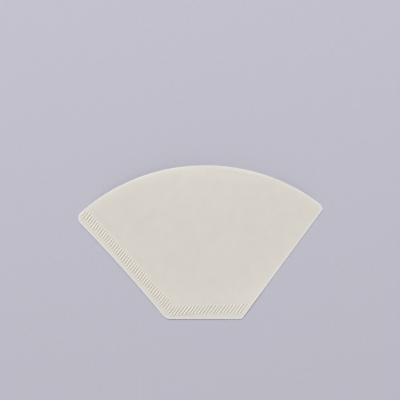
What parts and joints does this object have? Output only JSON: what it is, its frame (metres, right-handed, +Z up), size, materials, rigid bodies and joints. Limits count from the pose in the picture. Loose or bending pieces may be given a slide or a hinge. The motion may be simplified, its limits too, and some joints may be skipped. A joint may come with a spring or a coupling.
{
  "type": "cone coffee filter",
  "caption": "Flat paper bag for drip coffee, folded along its right side, crimped along its left side and bottom, and open along a curved mouth.",
  "frame": {"origin": "middle of the underside's box, on the surface that the filter lies on", "axes": "+X across the filter towards the folded side, +Y from the bottom seam towards the mouth, +Z up, from the back ply to the front ply"},
  "size_m": [0.1646, 0.1032, 0.0077],
  "materials": {
    "filter_paper": "matte"
  },
  "bodies": {
    "root": {"filter_paper": "filter_paper"}
  },
  "joints": []
}
